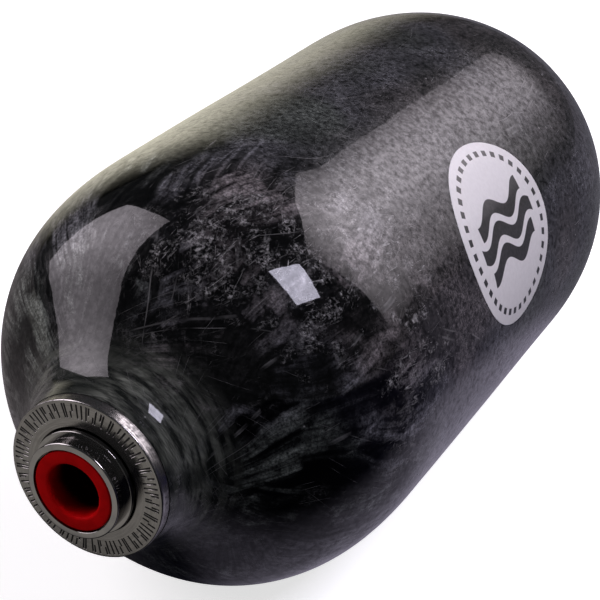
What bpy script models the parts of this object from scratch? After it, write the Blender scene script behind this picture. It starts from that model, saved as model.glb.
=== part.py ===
"""Small fibre-wrapped cylinder for high-pressure air, with a threaded port and a port plug.

The cylinder lies on its side. Its axis is the Y axis, the neck points to -Y, and the origin is the
centre of the whole object. Every turned piece is drawn as an outline of (radius, station) points in
millimetres. A station is the distance from the neck's front face, positive into the cylinder.
"""
import math
from collections import namedtuple

import bmesh
import bpy
from mathutils import Vector
from mathutils.geometry import interpolate_bezier

MM = 0.001

# Whole cylinder
SKIN_RADIUS = 45.2
NOSE_FRONT = -4.2
NEAR_SPRING = 57.5
FAR_SPRING = 137.0
NEAR_DOME_DEPTH = 45.0
FAR_DOME_DEPTH = 50.0
NEAR_DOME_POWER = 2.75
FAR_DOME_POWER = 2.3
CENTRE_STATION = (NOSE_FRONT + FAR_SPRING + FAR_DOME_DEPTH) / 2

# The wraps fill the space between the skin and the liner, WRAP_BUILD thick on the straight side.
# The liner's near dome is shallower and rounder than the skin's.
WRAP_BUILD = 7.5
LINER_DOME_LOSS = 4.0
LINER_POWER_LOSS = 0.25
CROWN_ANGLE = math.radians(53.4)
NECK_PULL = 0.34
CROWN_PULL = 0.55
LIP_FLARE = 0.03
TINY_ANGLE = 0.001

# Depths below the skin, measured on the straight side
COAT_INNER = 0.5
LABEL_OUTER = 0.68
LABEL_INNER = 0.78
GLASS_OUTER = 0.95
GLASS_INNER = 1.65
HOOP_OUTER = 1.95
HOOP_INNER = 3.95
HELICAL_RECESS = 4.25
HELICAL_INNER = 6.4
ISOLATION_OUTER = 6.7
ISOLATION_INNER = 7.2
LINER_WALL = 2.7
HOOP_END_GAP = 0.3
HOOP_INSET = 1.5

# Where each wrap ends on the neck: the lip of its outer face, and the station of its inner lip
COAT_LIP = (16.5, 4.5)
COAT_INNER_LIP = 6.8
GLASS_LIP = (17.0, 10.2)
GLASS_INNER_LIP = 11.2
HELICAL_LIP = (17.2, 13.9)
HELICAL_INNER_LIP = 15.2
ISOLATION_LIP = (16.9, 17.0)
ISOLATION_INNER_LIP = 17.6

# Neck boss of the liner
BOSS_RADIUS = 15.875
BOSS_EDGE = 0.3
SLEEVE_RADIUS = 16.2
BOSS_FOOT = 18.4
PORT_MOUTH = 10.6
PASSAGE_RADIUS = 6.0
SEAL_SHOULDER = 15.7
SEAL_BORE = 9.0
NECK_RELIEF_END = 11.6
NEAR_HOLLOW_DEPTH = 36.0
FAR_HOLLOW_WALL = 3.0
HOLLOW_POWER = 2.5
HOLLOW_STEPS = 4

# Threads: 60 degree unified form. The basic depth of engagement is 5/8 of the sharp triangle.
INCH = 25.4
SHARP_HEIGHT = math.sqrt(3) / 2
BASIC_DEPTH = 0.625 * SHARP_HEIGHT
CREST_FLAT = 0.125
ROOT_FLAT = 0.25
FADE_TURNS = 0.5
PORT_PITCH = INCH / 18
PORT_MAJOR_RADIUS = INCH * 5 / 16
NECK_PITCH = INCH / 16
NECK_MAJOR_RADIUS = INCH * 3 / 8
MALE_EASE = 0.2
FEMALE_EASE = 0.1
PORT_THREAD_START = 0.0
PORT_TURNS = 5
NECK_THREAD_START = 1.3
NECK_TURNS = 3

# Thread insert: the bright nose and its bore
NOSE_RADIUS = 9.525
NOSE_EDGE = 0.4
BEAD_RADIUS = 10.3
BEAD_FRONT = -1.1
BEAD_BACK = -0.3
BEAD_EDGE = 0.2
INSERT_END = 13.9
COUNTERBORE_RADIUS = 8.25
COUNTERBORE_END = -0.8
PORT_RELIEF_END = 10.6
RELIEF_TAPER = 1.0

# Port plug
PLUG_FRONT = -4.1
PLUG_HEAD_RADIUS = 7.95
PLUG_HEAD_BACK = -2.7
PLUG_GROOVE_RADIUS = 6.55
PLUG_LAND_FRONT = -1.1
PLUG_LAND_BACK = -0.5
PLUG_LAND_RADIUS = 7.7
PLUG_END = 9.2
RECESS_RADIUS = 5.3
RECESS_FLOOR = 3.0
SOCKET_HALF_WIDTH = 4.0
SOCKET_FLOOR = 7.4
EDGE = 0.3

# Sealing rings
PLUG_RING_RADIUS = 7.375
PLUG_RING_STATION = -1.9
PLUG_RING_TUBE = 0.68
INSERT_RING_RADIUS = 7.9
INSERT_RING_STATION = 14.8
INSERT_RING_TUBE = 0.7

# Round label, under the clear coat
LABEL_RADIUS = 20.0
LABEL_STATION = 96.1
LABEL_ANGLE = math.radians(65.8)
LABEL_RINGS = 5
LABEL_SEGMENTS = 36

Thread = namedtuple("Thread", "base tip pitch start turns base_flat tip_flat")
Hexagon = namedtuple("Hexagon", "half_width station")
Steps = namedtuple("Steps", "crown near far")

# Fineness: facets round the axis, and steps along the curved stretches of an outline
COAT_SEGMENTS = 48
SHELL_SEGMENTS = 32
PORT_SEGMENTS = 30
RING_SECTION = 8
SKIN_STEPS = Steps(crown=6, near=7, far=9)
INNER_STEPS = Steps(crown=4, near=3, far=4)
EDGE_STEPS = 3
SHARP_ANGLE = math.radians(32)


# ---------------------------------------------------------------- scene and materials

def clear_scene():
    for item in list(bpy.data.objects):
        bpy.data.objects.remove(item)


def material(name, colour, roughness, metallic=0.0):
    result = bpy.data.materials.new(name)
    result.use_nodes = True
    surface = result.node_tree.nodes["Principled BSDF"]
    surface.inputs["Base Color"].default_value = (*colour, 1.0)
    surface.inputs["Roughness"].default_value = roughness
    surface.inputs["Metallic"].default_value = metallic
    return result


# ---------------------------------------------------------------- turned shapes

def place(radius, angle, station):
    """Point at an angle from +Z towards +X, in metres."""
    across = radius * math.sin(angle)
    up = radius * math.cos(angle)
    return Vector((across, station - CENTRE_STATION, up)) * MM


def hexagon_radius(half_width, angle):
    sixth = math.pi / 3
    return half_width / math.cos(angle % sixth - sixth / 2)


def add_ring(bm, step, segments):
    """One ring of an outline: a single vertex on the axis, a circle or a hexagon."""
    radius, station = step
    if radius == 0:
        return [bm.verts.new(place(0, 0, station))]
    ring = []
    for index in range(segments):
        angle = math.tau * index / segments
        reach = hexagon_radius(radius, angle) if isinstance(step, Hexagon) else radius
        ring.append(bm.verts.new(place(reach, angle, station)))
    return ring


def join_rings(bm, first, second):
    if len(first) == 1:
        first, second = second, first
    count = len(first)
    for index in range(count):
        following = (index + 1) % count
        if len(second) == 1:
            bm.faces.new((first[index], first[following], second[0]))
        else:
            bm.faces.new((first[index], first[following], second[following], second[index]))


def thread_rows(thread):
    """Stations within one pitch, in pitches, and whether each is on the ridge's tip."""
    flank = (1 - thread.base_flat - thread.tip_flat) / 2
    tip_start = thread.base_flat + flank
    return ((0.0, False), (thread.base_flat, False),
            (tip_start, True), (tip_start + thread.tip_flat, True))


def thread_vertex(bm, thread, column, row, segments):
    """Vertex of a helical ridge. The ridge fades in and out over FADE_TURNS at its ends."""
    rows = thread_rows(thread)
    turn, within = divmod(row, len(rows))
    offset, on_tip = rows[within]
    along = turn + column / segments
    fade = max(0.0, min(along, thread.turns - along) / FADE_TURNS)
    height = min(1.0, fade) * (thread.tip - thread.base) if on_tip else 0.0
    angle = math.tau * column / segments
    station = thread.start + thread.pitch * (along + offset)
    return bm.verts.new(place(thread.base + height, angle, station))


def join_thread(bm, low, high, thread):
    """Right-hand helical ridge between two rings of its base radius.

    Going once round the axis climbs one pitch, so the last column of vertices is the first one
    again, shifted by the rows of one pitch. Fans of triangles close that step at both ends.
    """
    segments = len(low)
    pitch_rows = len(thread_rows(thread))
    last = pitch_rows * thread.turns
    columns = []
    for column in range(segments):
        height = last + pitch_rows if column == 0 else last
        columns.append([thread_vertex(bm, thread, column, row, segments) for row in range(height + 1)])
    seam = columns[0]
    columns.append(seam[pitch_rows:])
    for left, right in zip(columns, columns[1:]):
        for row in range(last):
            bm.faces.new((left[row], right[row], right[row + 1], left[row + 1]))
    for column in range(segments - 1):
        bm.faces.new((low[column], low[column + 1], columns[column + 1][0], columns[column][0]))
    for column in range(1, segments):
        following = high[(column + 1) % segments]
        bm.faces.new((high[column], following, columns[column + 1][last], columns[column][last]))
    bm.faces.new((low[-1], low[0], seam[0], columns[-2][0]))
    bm.faces.new((high[0], high[1], columns[1][last], seam[-1]))
    for row in range(pitch_rows):
        bm.faces.new((columns[-2][0], seam[row], seam[row + 1]))
        bm.faces.new((columns[1][last], seam[last + row], seam[last + row + 1]))


def finish(bm, name, surface, parent=None):
    """Turn a closed mesh into a named object with one material."""
    bmesh.ops.recalc_face_normals(bm, faces=bm.faces)
    mesh = bpy.data.meshes.new(name)
    bm.to_mesh(mesh)
    bm.free()
    mesh.shade_smooth()
    mesh.set_sharp_from_angle(angle=SHARP_ANGLE)
    mesh.materials.append(surface)
    result = bpy.data.objects.new(name, mesh)
    bpy.context.scene.collection.objects.link(result)
    if parent is not None:
        result.parent = parent
        result.matrix_parent_inverse = parent.matrix_world.inverted()
    return result


def turned(name, outline, segments, surface, closed=False, parent=None):
    """Turn an outline about the axis. It runs from axis to axis, or round a closed loop."""
    bm = bmesh.new()
    steps = [step if isinstance(step, Thread) else add_ring(bm, step, segments) for step in outline]
    if closed:
        steps.append(steps[0])
    for index in range(len(steps) - 1):
        first, second = steps[index], steps[index + 1]
        if isinstance(second, Thread):
            ends = sorted((first, steps[index + 2]), key=lambda ring: ring[0].co.y)
            join_thread(bm, *ends, second)
        elif not isinstance(first, Thread):
            join_rings(bm, first, second)
    return finish(bm, name, surface, parent)


# ---------------------------------------------------------------- outlines of the wraps

def dome_step(depth, angle, near):
    """Point on a dome, a given depth below the skin. Angle 0 is where the straight side ends."""
    share = depth / WRAP_BUILD
    if near:
        reach = NEAR_DOME_DEPTH - LINER_DOME_LOSS * share
        power = NEAR_DOME_POWER - LINER_POWER_LOSS * share
        base, direction = NEAR_SPRING, -1
    else:
        reach = FAR_DOME_DEPTH - depth
        power = FAR_DOME_POWER
        base, direction = FAR_SPRING, 1
    radius = (SKIN_RADIUS - depth) * math.cos(angle) ** (2 / power)
    return radius, base + direction * reach * math.sin(angle) ** (2 / power)


def crown_curve(depth, lip, steps):
    """Hollow sweep from a lip on the neck out to the near dome."""
    join = dome_step(depth, CROWN_ANGLE, near=True)
    beside = dome_step(depth, CROWN_ANGLE + TINY_ANGLE, near=True)
    slope = (beside[1] - join[1]) / (beside[0] - join[0])
    spread = join[0] - lip[0]
    drop = join[1] - lip[1]
    neck_handle = (lip[0] + LIP_FLARE * spread, lip[1] + NECK_PULL * drop)
    crown_handle = (join[0] - CROWN_PULL * spread, join[1] - CROWN_PULL * spread * slope)
    controls = [Vector((*point, 0)) for point in (lip, neck_handle, crown_handle, join)]
    return [(point.x, point.y) for point in interpolate_bezier(*controls, steps + 1)]


def near_curve(depth, lip, steps=INNER_STEPS):
    """From a lip on the neck to the start of the straight side."""
    angles = [CROWN_ANGLE * (1 - step / steps.near) for step in range(1, steps.near + 1)]
    dome = [dome_step(depth, angle, near=True) for angle in angles]
    return crown_curve(depth, lip, steps.crown) + dome


def far_curve(depth, steps=INNER_STEPS):
    """From the end of the straight side to the far pole."""
    angles = [math.pi / 2 * step / steps.far for step in range(steps.far)]
    pole = (0, FAR_SPRING + FAR_DOME_DEPTH - depth)
    return [dome_step(depth, angle, near=False) for angle in angles] + [pole]


def cup(outer, inner):
    """Close two faces, each drawn from its lip to the far pole, into a cup open at the neck."""
    mouth = (SLEEVE_RADIUS, outer[0][1])
    return outer[::-1] + [mouth] + inner


def inner_face(depth, lip_station):
    return near_curve(depth, (SLEEVE_RADIUS, lip_station)) + far_curve(depth)


# ---------------------------------------------------------------- wraps, coat and label

def clear_coat(surface):
    outer = near_curve(0, COAT_LIP, SKIN_STEPS) + far_curve(0, SKIN_STEPS)
    outline = cup(outer, inner_face(COAT_INNER, COAT_INNER_LIP))
    return turned("clear_coat", outline, COAT_SEGMENTS, surface)


def glass_outer_wrap(surface):
    outer = near_curve(GLASS_OUTER, GLASS_LIP) + far_curve(GLASS_OUTER)
    outline = cup(outer, inner_face(GLASS_INNER, GLASS_INNER_LIP))
    return turned("glass_outer_wrap", outline, SHELL_SEGMENTS, surface)


def carbon_helical_wrap(surface):
    """Covers the domes and the side. The side is stepped down to hold the hoop wrap."""
    recess = SKIN_RADIUS - HELICAL_RECESS
    side = [(recess, NEAR_SPRING + HOOP_INSET), (recess, FAR_SPRING - HOOP_INSET)]
    outer = near_curve(HOOP_OUTER, HELICAL_LIP) + side + far_curve(HOOP_OUTER)
    outline = cup(outer, inner_face(HELICAL_INNER, HELICAL_INNER_LIP))
    return turned("carbon_helical_wrap", outline, SHELL_SEGMENTS, surface)


def carbon_hoop_wrap(surface):
    """Plain band in the helical wrap's recess, with ends that slope as the recess does."""
    outer, inner = SKIN_RADIUS - HOOP_OUTER, SKIN_RADIUS - HOOP_INNER
    near, far = NEAR_SPRING + HOOP_INSET, FAR_SPRING - HOOP_INSET
    outline = ((outer, near + HOOP_END_GAP), (outer, far - HOOP_END_GAP),
               (inner, far - 2 * HOOP_END_GAP), (inner, near + 2 * HOOP_END_GAP))
    return turned("carbon_hoop_wrap", outline, SHELL_SEGMENTS, surface, closed=True)


def glass_isolation_layer(surface):
    outer = near_curve(ISOLATION_OUTER, ISOLATION_LIP) + far_curve(ISOLATION_OUTER)
    outline = cup(outer, inner_face(ISOLATION_INNER, ISOLATION_INNER_LIP))
    return turned("glass_isolation_layer", outline, SHELL_SEGMENTS, surface)


def label_point(bm, ring, segment, depth):
    """Point of the round label, wrapped on the straight side at a depth below the skin."""
    reach = LABEL_RADIUS * ring / LABEL_RINGS
    turn = math.tau * segment / LABEL_SEGMENTS
    sideways = reach * math.sin(turn)
    along = reach * math.cos(turn)
    angle = LABEL_ANGLE + sideways / (SKIN_RADIUS - LABEL_OUTER)
    return bm.verts.new(place(SKIN_RADIUS - depth, angle, LABEL_STATION + along))


def round_label(surface):
    bm = bmesh.new()
    rims = []
    for depth in (LABEL_OUTER, LABEL_INNER):
        rings = [[label_point(bm, 0, 0, depth)]]
        for ring in range(1, LABEL_RINGS + 1):
            rings.append([label_point(bm, ring, index, depth) for index in range(LABEL_SEGMENTS)])
        for first, second in zip(rings, rings[1:]):
            join_rings(bm, first, second)
        rims.append(rings[-1])
    join_rings(bm, *rims)
    return finish(bm, "round_label", surface)


# ---------------------------------------------------------------- liner

def female_thread(major, pitch, start, turns):
    """Internal thread: ridges that point inward from the relief at the major radius."""
    base = major + FEMALE_EASE
    return Thread(base, base - BASIC_DEPTH * pitch, pitch, start, turns, CREST_FLAT, ROOT_FLAT)


def male_thread(major, pitch, start, turns):
    """External thread: ridges that point outward from the root radius."""
    tip = major - MALE_EASE
    return Thread(tip - BASIC_DEPTH * pitch, tip, pitch, start, turns, ROOT_FLAT, CREST_FLAT)


def female_start(male_start, pitch):
    """Start of an internal thread whose grooves meet the ridges of the external one."""
    male_ridge = (1 + ROOT_FLAT) / 2
    female_groove = CREST_FLAT / 2
    return male_start + (male_ridge - female_groove) * pitch


def hollow_curve():
    """Inside of the liner, from the passage under the port to the far pole."""
    wall_radius = SKIN_RADIUS - WRAP_BUILD - LINER_WALL
    far_depth = FAR_DOME_DEPTH - WRAP_BUILD - FAR_HOLLOW_WALL
    round_power = 2 / HOLLOW_POWER
    mouth_angle = math.acos((PASSAGE_RADIUS / wall_radius) ** (1 / round_power))
    points = []
    for step in range(HOLLOW_STEPS + 1):
        angle = mouth_angle * (1 - step / HOLLOW_STEPS)
        points.append((wall_radius * math.cos(angle) ** round_power,
                       NEAR_SPRING - NEAR_HOLLOW_DEPTH * math.sin(angle) ** round_power))
    for step in range(INNER_STEPS.far):
        angle = math.pi / 2 * step / INNER_STEPS.far
        points.append((wall_radius * math.cos(angle) ** round_power,
                       FAR_SPRING + far_depth * math.sin(angle) ** round_power))
    return points + [(0, FAR_SPRING + far_depth)]


def liner(surface):
    """Seamless aluminium vessel with its neck boss and the threaded bore for the insert."""
    start = female_start(NECK_THREAD_START, NECK_PITCH)
    thread = female_thread(NECK_MAJOR_RADIUS, NECK_PITCH, start, NECK_TURNS)
    outside = near_curve(WRAP_BUILD, (BOSS_RADIUS, BOSS_FOOT)) + far_curve(WRAP_BUILD)
    boss = [(BOSS_RADIUS, BOSS_EDGE), (BOSS_RADIUS - BOSS_EDGE, 0), (PORT_MOUTH, 0)]
    relief_start = PORT_MOUTH - thread.base
    bore = [(thread.base, relief_start), thread, (thread.base, NECK_RELIEF_END),
            (SEAL_BORE, NECK_RELIEF_END), (SEAL_BORE, SEAL_SHOULDER), (PASSAGE_RADIUS, SEAL_SHOULDER)]
    outline = outside[::-1] + boss + bore + hollow_curve()
    return turned("liner", outline, SHELL_SEGMENTS, surface)


# ---------------------------------------------------------------- port: insert, plug and sealing rings

def rounded_edge(radius, station, size):
    """Quarter round on an outer edge, from the front face to the side."""
    points = []
    for step in range(EDGE_STEPS + 1):
        angle = math.pi / 2 * step / EDGE_STEPS
        points.append((radius - size + size * math.sin(angle), station + size - size * math.cos(angle)))
    return points


def thread_insert(surface):
    """Steel bush: bright nose and bead outside, the port's own thread inside."""
    outer = male_thread(NECK_MAJOR_RADIUS, NECK_PITCH, NECK_THREAD_START, NECK_TURNS)
    port_start = female_start(PORT_THREAD_START, PORT_PITCH)
    inner = female_thread(PORT_MAJOR_RADIUS, PORT_PITCH, port_start, PORT_TURNS)
    nose = [(COUNTERBORE_RADIUS, NOSE_FRONT)] + rounded_edge(NOSE_RADIUS, NOSE_FRONT, NOSE_EDGE)
    bead = [(NOSE_RADIUS, BEAD_FRONT), (BEAD_RADIUS - BEAD_EDGE, BEAD_FRONT),
            (BEAD_RADIUS, BEAD_FRONT + BEAD_EDGE), (BEAD_RADIUS, BEAD_BACK)]
    shank = [(outer.base, BEAD_BACK), outer, (outer.base, INSERT_END - EDGE),
             (outer.base - EDGE, INSERT_END), (PASSAGE_RADIUS, INSERT_END)]
    bore = [(PASSAGE_RADIUS, PORT_RELIEF_END + RELIEF_TAPER), (inner.base, PORT_RELIEF_END), inner,
            (inner.base, COUNTERBORE_END), (COUNTERBORE_RADIUS, COUNTERBORE_END)]
    return turned("thread_insert", nose + bead + shank + bore, PORT_SEGMENTS, surface, closed=True)


def port_plug(surface, parent):
    """Hollow screw plug, flush with the nose, with a hexagon socket at the bottom of its recess."""
    thread = male_thread(PORT_MAJOR_RADIUS, PORT_PITCH, PORT_THREAD_START, PORT_TURNS)
    tail = [(0, PLUG_END), (thread.base - EDGE, PLUG_END), (thread.base, PLUG_END - EDGE), thread,
            (thread.base, PLUG_LAND_BACK)]
    land = [(PLUG_LAND_RADIUS, PLUG_LAND_BACK), (PLUG_LAND_RADIUS, PLUG_LAND_FRONT)]
    groove = [(PLUG_GROOVE_RADIUS, PLUG_LAND_FRONT), (PLUG_GROOVE_RADIUS, PLUG_HEAD_BACK)]
    head = [(PLUG_HEAD_RADIUS, PLUG_HEAD_BACK), (PLUG_HEAD_RADIUS, PLUG_FRONT + EDGE),
            (PLUG_HEAD_RADIUS - EDGE, PLUG_FRONT)]
    recess = [(RECESS_RADIUS + EDGE, PLUG_FRONT), (RECESS_RADIUS, PLUG_FRONT + EDGE),
              (RECESS_RADIUS, RECESS_FLOOR)]
    socket = [Hexagon(SOCKET_HALF_WIDTH, RECESS_FLOOR), Hexagon(SOCKET_HALF_WIDTH, SOCKET_FLOOR),
              (0, SOCKET_FLOOR)]
    outline = tail + land + groove + head + recess + socket
    return turned("port_plug", outline, PORT_SEGMENTS, surface, parent=parent)


def sealing_ring(name, radius, station, tube, surface, parent=None):
    outline = []
    for index in range(RING_SECTION):
        angle = math.tau * index / RING_SECTION
        outline.append((radius + tube * math.cos(angle), station + tube * math.sin(angle)))
    return turned(name, outline, PORT_SEGMENTS, surface, closed=True, parent=parent)


def port_axis():
    """Guide on the axis, at the front of the plug, that carries the pieces that screw out."""
    guide = bpy.data.objects.new("port_axis", None)
    guide.location = place(0, 0, PLUG_FRONT)
    guide.empty_display_size = NOSE_RADIUS * MM
    bpy.context.scene.collection.objects.link(guide)
    bpy.context.view_layer.update()
    return guide


def build():
    clear_scene()
    aluminium = material("satin_aluminium", (0.62, 0.62, 0.6), 0.35, metallic=1.0)
    bright_steel = material("bright_steel", (0.78, 0.77, 0.75), 0.08, metallic=1.0)
    glass_fibre = material("glass_fibre", (0.30, 0.32, 0.28), 0.45)
    carbon_fibre = material("carbon_fibre", (0.02, 0.02, 0.022), 0.35)
    resin = material("clear_resin", (0.05, 0.05, 0.055), 0.05)
    paper = material("label_film", (0.85, 0.84, 0.86), 0.4)
    red_plastic = material("red_plastic", (0.42, 0.01, 0.02), 0.4)
    rubber = material("black_rubber", (0.02, 0.02, 0.02), 0.6)

    liner(aluminium)
    glass_isolation_layer(glass_fibre)
    carbon_helical_wrap(carbon_fibre)
    carbon_hoop_wrap(carbon_fibre)
    glass_outer_wrap(glass_fibre)
    round_label(paper)
    clear_coat(resin)
    thread_insert(bright_steel)
    sealing_ring("insert_ring", INSERT_RING_RADIUS, INSERT_RING_STATION, INSERT_RING_TUBE, rubber)
    guide = port_axis()
    sealing_ring("plug_ring", PLUG_RING_RADIUS, PLUG_RING_STATION, PLUG_RING_TUBE, rubber, guide)
    port_plug(red_plastic, guide)


build()
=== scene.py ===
"""Looks of a small fibre-wrapped air cylinder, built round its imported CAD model.

The cylinder lies on its side along Y, with its neck towards -Y. Turned pieces are drawn as outlines
of (radius, station) in millimetres. A station is the distance from the neck's front face, positive
into the cylinder. Angles round the axis run from +Z towards +X.
"""

import math
from collections import namedtuple
from functools import partial, reduce

import bmesh
import bpy
from mathutils import Matrix, Vector, noise
from mathutils.geometry import interpolate_bezier


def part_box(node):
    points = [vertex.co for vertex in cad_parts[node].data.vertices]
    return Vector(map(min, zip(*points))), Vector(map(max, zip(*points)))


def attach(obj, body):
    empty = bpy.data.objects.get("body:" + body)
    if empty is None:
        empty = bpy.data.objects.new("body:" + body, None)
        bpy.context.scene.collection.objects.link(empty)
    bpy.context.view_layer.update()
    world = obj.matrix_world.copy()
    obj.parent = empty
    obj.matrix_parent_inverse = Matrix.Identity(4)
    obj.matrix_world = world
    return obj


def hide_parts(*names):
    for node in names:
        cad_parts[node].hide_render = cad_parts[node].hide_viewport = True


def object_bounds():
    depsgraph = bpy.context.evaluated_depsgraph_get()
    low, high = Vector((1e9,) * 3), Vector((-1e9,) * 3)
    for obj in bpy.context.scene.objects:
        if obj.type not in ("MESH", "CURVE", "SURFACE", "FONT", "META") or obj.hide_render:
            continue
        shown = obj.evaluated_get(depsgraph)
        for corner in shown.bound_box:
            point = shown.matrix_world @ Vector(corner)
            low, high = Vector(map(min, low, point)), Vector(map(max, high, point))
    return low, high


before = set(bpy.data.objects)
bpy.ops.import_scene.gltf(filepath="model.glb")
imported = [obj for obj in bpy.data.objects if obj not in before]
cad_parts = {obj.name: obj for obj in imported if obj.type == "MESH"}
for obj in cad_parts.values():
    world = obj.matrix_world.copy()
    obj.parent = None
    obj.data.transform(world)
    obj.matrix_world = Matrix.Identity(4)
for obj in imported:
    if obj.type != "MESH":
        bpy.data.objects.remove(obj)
cad_low, cad_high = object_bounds()

MM = 0.001
NECK_FACE_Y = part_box("liner")[0].y


def station_of(y):
    return (y - NECK_FACE_Y) / MM


def stations(node):
    """Stations between which a CAD node lies."""
    low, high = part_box(node)
    return station_of(low.y), station_of(high.y)


# ---------------- driving sizes, in millimetres

SKIN_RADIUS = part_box("clear_coat")[1].x / MM
LIP_STATION, FAR_POLE = stations("clear_coat")
NOSE_FRONT, INSERT_END = stations("thread_insert")
PLUG_HEAD_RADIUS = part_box("port_plug")[1].z / MM
PLUG_FRONT, PLUG_END = stations("port_plug")

# Domes of the skin: superellipses, with a hollow sweep from the neck
NEAR_DOME_DEPTH = 45.0
FAR_DOME_DEPTH = 50.0
NEAR_SPRING = 57.5
FAR_SPRING = FAR_POLE - FAR_DOME_DEPTH
NEAR_DOME_POWER = 2.75
FAR_DOME_POWER = 2.3
CROWN_ANGLE = math.radians(53.4)
LIP_RADIUS = 16.5
LIP_FLARE = 0.03
NECK_PULL = 0.34
CROWN_PULL = 0.55
TINY_ANGLE = 0.001
SKIN_THICKNESS = 0.5
SLEEVE_RADIUS = 15.93
CUFF_FRONT = 2.4
CUFF_EDGE = 0.06
CUFF_SWELL = 0.25
CUFF_SHOULDER = 3.3
INNER_LIP_SETBACK = 2.3

# Neck boss and hollow of the liner
LINER_DEPTH = 7.5
LINER_DOME_LOSS = 4.0
LINER_POWER_LOSS = 0.25
BOSS_RADIUS = 15.875
BOSS_EDGE = 0.3
BOSS_SIDE_FRONT = 3.0
BOSS_FOOT = 18.4
PORT_MOUTH = 10.6
PASSAGE_RADIUS = 6.0
SEAL_SHOULDER = 15.7
SEAL_BORE = 9.0
NECK_RELIEF_END = 11.6
LINER_WALL = 2.7
NEAR_HOLLOW_DEPTH = 36.0
FAR_HOLLOW_WALL = 3.0
HOLLOW_POWER = 2.5

# Graduation cut into the neck's face. Each slot has no cut (0), its outer half (1), its inner half (2)
# or both (3), in a rhythm that repeats round the face.
MARK_BAND = (12.4, 15.2)
MARK_HALF = 13.7
MARK_DEPTH = 0.14
MARK_CRISP = 0.05
FACE_MARGIN = 0.6
MARK_SLOTS = 180
MARK_COLUMNS = 4
MARK_WIDTH = 2
MARK_RHYTHM = (3, 0, 3, 1, 0, 2, 3, 0, 1, 3, 0, 0, 3, 3, 0, 2, 1, 0, 3, 0)

# Threads, 60 degree unified form: major radius, pitch, start of the external one, turns
INCH = 25.4
PORT_THREAD = (INCH * 5 / 16, INCH / 18, 0.0, 5)
NECK_THREAD = (INCH * 3 / 8, INCH / 16, 1.3, 3)
BASIC_DEPTH = 0.625 * math.sqrt(3) / 2
CREST_FLAT = 0.125
ROOT_FLAT = 0.25
FADE_TURNS = 0.5
MALE_EASE = 0.2
FEMALE_EASE = 0.1

# Bright nose and its bore
NOSE_RADIUS = 9.525
NOSE_EDGE = 0.3
BEAD_RADIUS = 10.3
BEAD_FRONT = -1.1
BEAD_BACK = -0.3
BEAD_EDGE = 0.14
COUNTERBORE_RADIUS = 8.25
MOUTH_EDGE = 0.04
COUNTERBORE_END = -0.8
PORT_RELIEF_END = 10.6
RELIEF_TAPER = 1.0

# Port plug
PLUG_HEAD_BACK = -2.7
PLUG_GROOVE_RADIUS = 6.55
PLUG_LAND_FRONT = -1.1
PLUG_LAND_BACK = -0.5
PLUG_LAND_RADIUS = 7.7
RECESS_RADIUS = 5.3
RECESS_FLOOR = 3.0
SOCKET_HALF_WIDTH = 4.0
SOCKET_FLOOR = 7.4
PLUG_RIM_ROUND = 0.55
EDGE = 0.3

# Label film on the skin
LABEL_STAND = 0.05
LABEL_SINK = 0.12
LABEL_RINGS = 42
LABEL_SEGMENTS = 120

# Fineness of the visible meshes
SKIN_SEGMENTS = 288
SKIN_STEP = 1.0
SKIN_CURVE_STEPS = 160
INNER_CURVE_STEPS = 8
LINER_CURVE_STEPS = 24
TURNED_SEGMENTS = 120
EDGE_STEPS = 6
SHARP_ANGLE = math.radians(40)

# Slight waves that winding leaves in the skin: height and length of each, in millimetres
WAVES = ((0.150, 36.0), (0.030, 13.0), (0.012, 6.0))
WAVE_FADE = 8.0

# Where handling marks gather: radius as a share of the skin's, angle in degrees, station, reach
HANDLED_SPOTS = ((0.86, 18, 30.0, 17.0), (0.90, 35, 36.0, 10.0), (0.98, 44, 50.0, 17.0),
                 (0.87, 51, 28.5, 8.0), (0.97, 72, 48.0, 11.0))

# Patches of painted shade, where the tows are painted dark for how they lie to the light, in the same form
SHADED_TOW_SPOTS = ((0.64, 42, 17.5, 21.0), (0.78, 34, 22.5, 11.0), (0.93, 49, 33.0, 8.0),
               (0.75, 5, 24.0, 8.0), (0.75, 120, 22.0, 16.0))
SPOT_CORE = 0.3
SPOT_RAGGED = 7.0

# Angles between which the straight side is paler: start, full, fading and end, in degrees
PALE_BANDS = ((-75, -30, 7, 24), (55, 70, 110, 150))

# Distance along the skin from its front edge where looks change, in millimetres
FILLET_FULL = 6.0
FILLET_END = 17.0
DOME_LOOK_END = 45.0
SIDE_LOOK_START = 80.0

# Radii on which patterns are wrapped. A small one gives a pattern with few repeats round the neck.
PATTERN_RADIUS = 45.0
HOOP_PATTERN_RADIUS = 2.7
FILLET_SWIRL_RADIUS = 3.0
FILLET_FIBRE_RADIUS = 12.0
HAIRLINE_FADE = 0.16

# Label print: bars as (offset, half width, half length), in millimetres
BARS = ((-5.0, 1.7, 12.0), (0.0, 1.7, 14.0), (5.0, 1.7, 12.0))
BAR_WAVE_HEIGHT = 1.7
BAR_WAVE_RATE = 0.42
BAR_END_FADE = 0.2
DOT_RING_RADIUS = 17.2
DOT_HALF = 0.75
DOT_COUNT = 36
INK_EDGE = 0.15

# Helical winding: the tows just clear the neck, and this sets their angle everywhere
TOW_TURN_RADIUS = 17.0
STEEPEST_TOW = 6.0

Thread = namedtuple("Thread", "base tip pitch start turns base_flat tip_flat")
Hexagon = namedtuple("Hexagon", "half_width station")
Dome = namedtuple("Dome", "radius reach power base")


# ---------------- turned shapes

def place(radius, angle, station):
    """Point in metres, from millimetres and an angle round the axis."""
    x = radius * math.sin(angle) * MM
    z = radius * math.cos(angle) * MM
    return Vector((x, NECK_FACE_Y + station * MM, z))


def circle(count):
    """Evenly spaced angles round a circle."""
    return [math.tau * index / count for index in range(count)]


def hexagon_radius(half_width, angle):
    sixth = math.pi / 3
    return half_width / math.cos(angle % sixth - sixth / 2)


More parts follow.
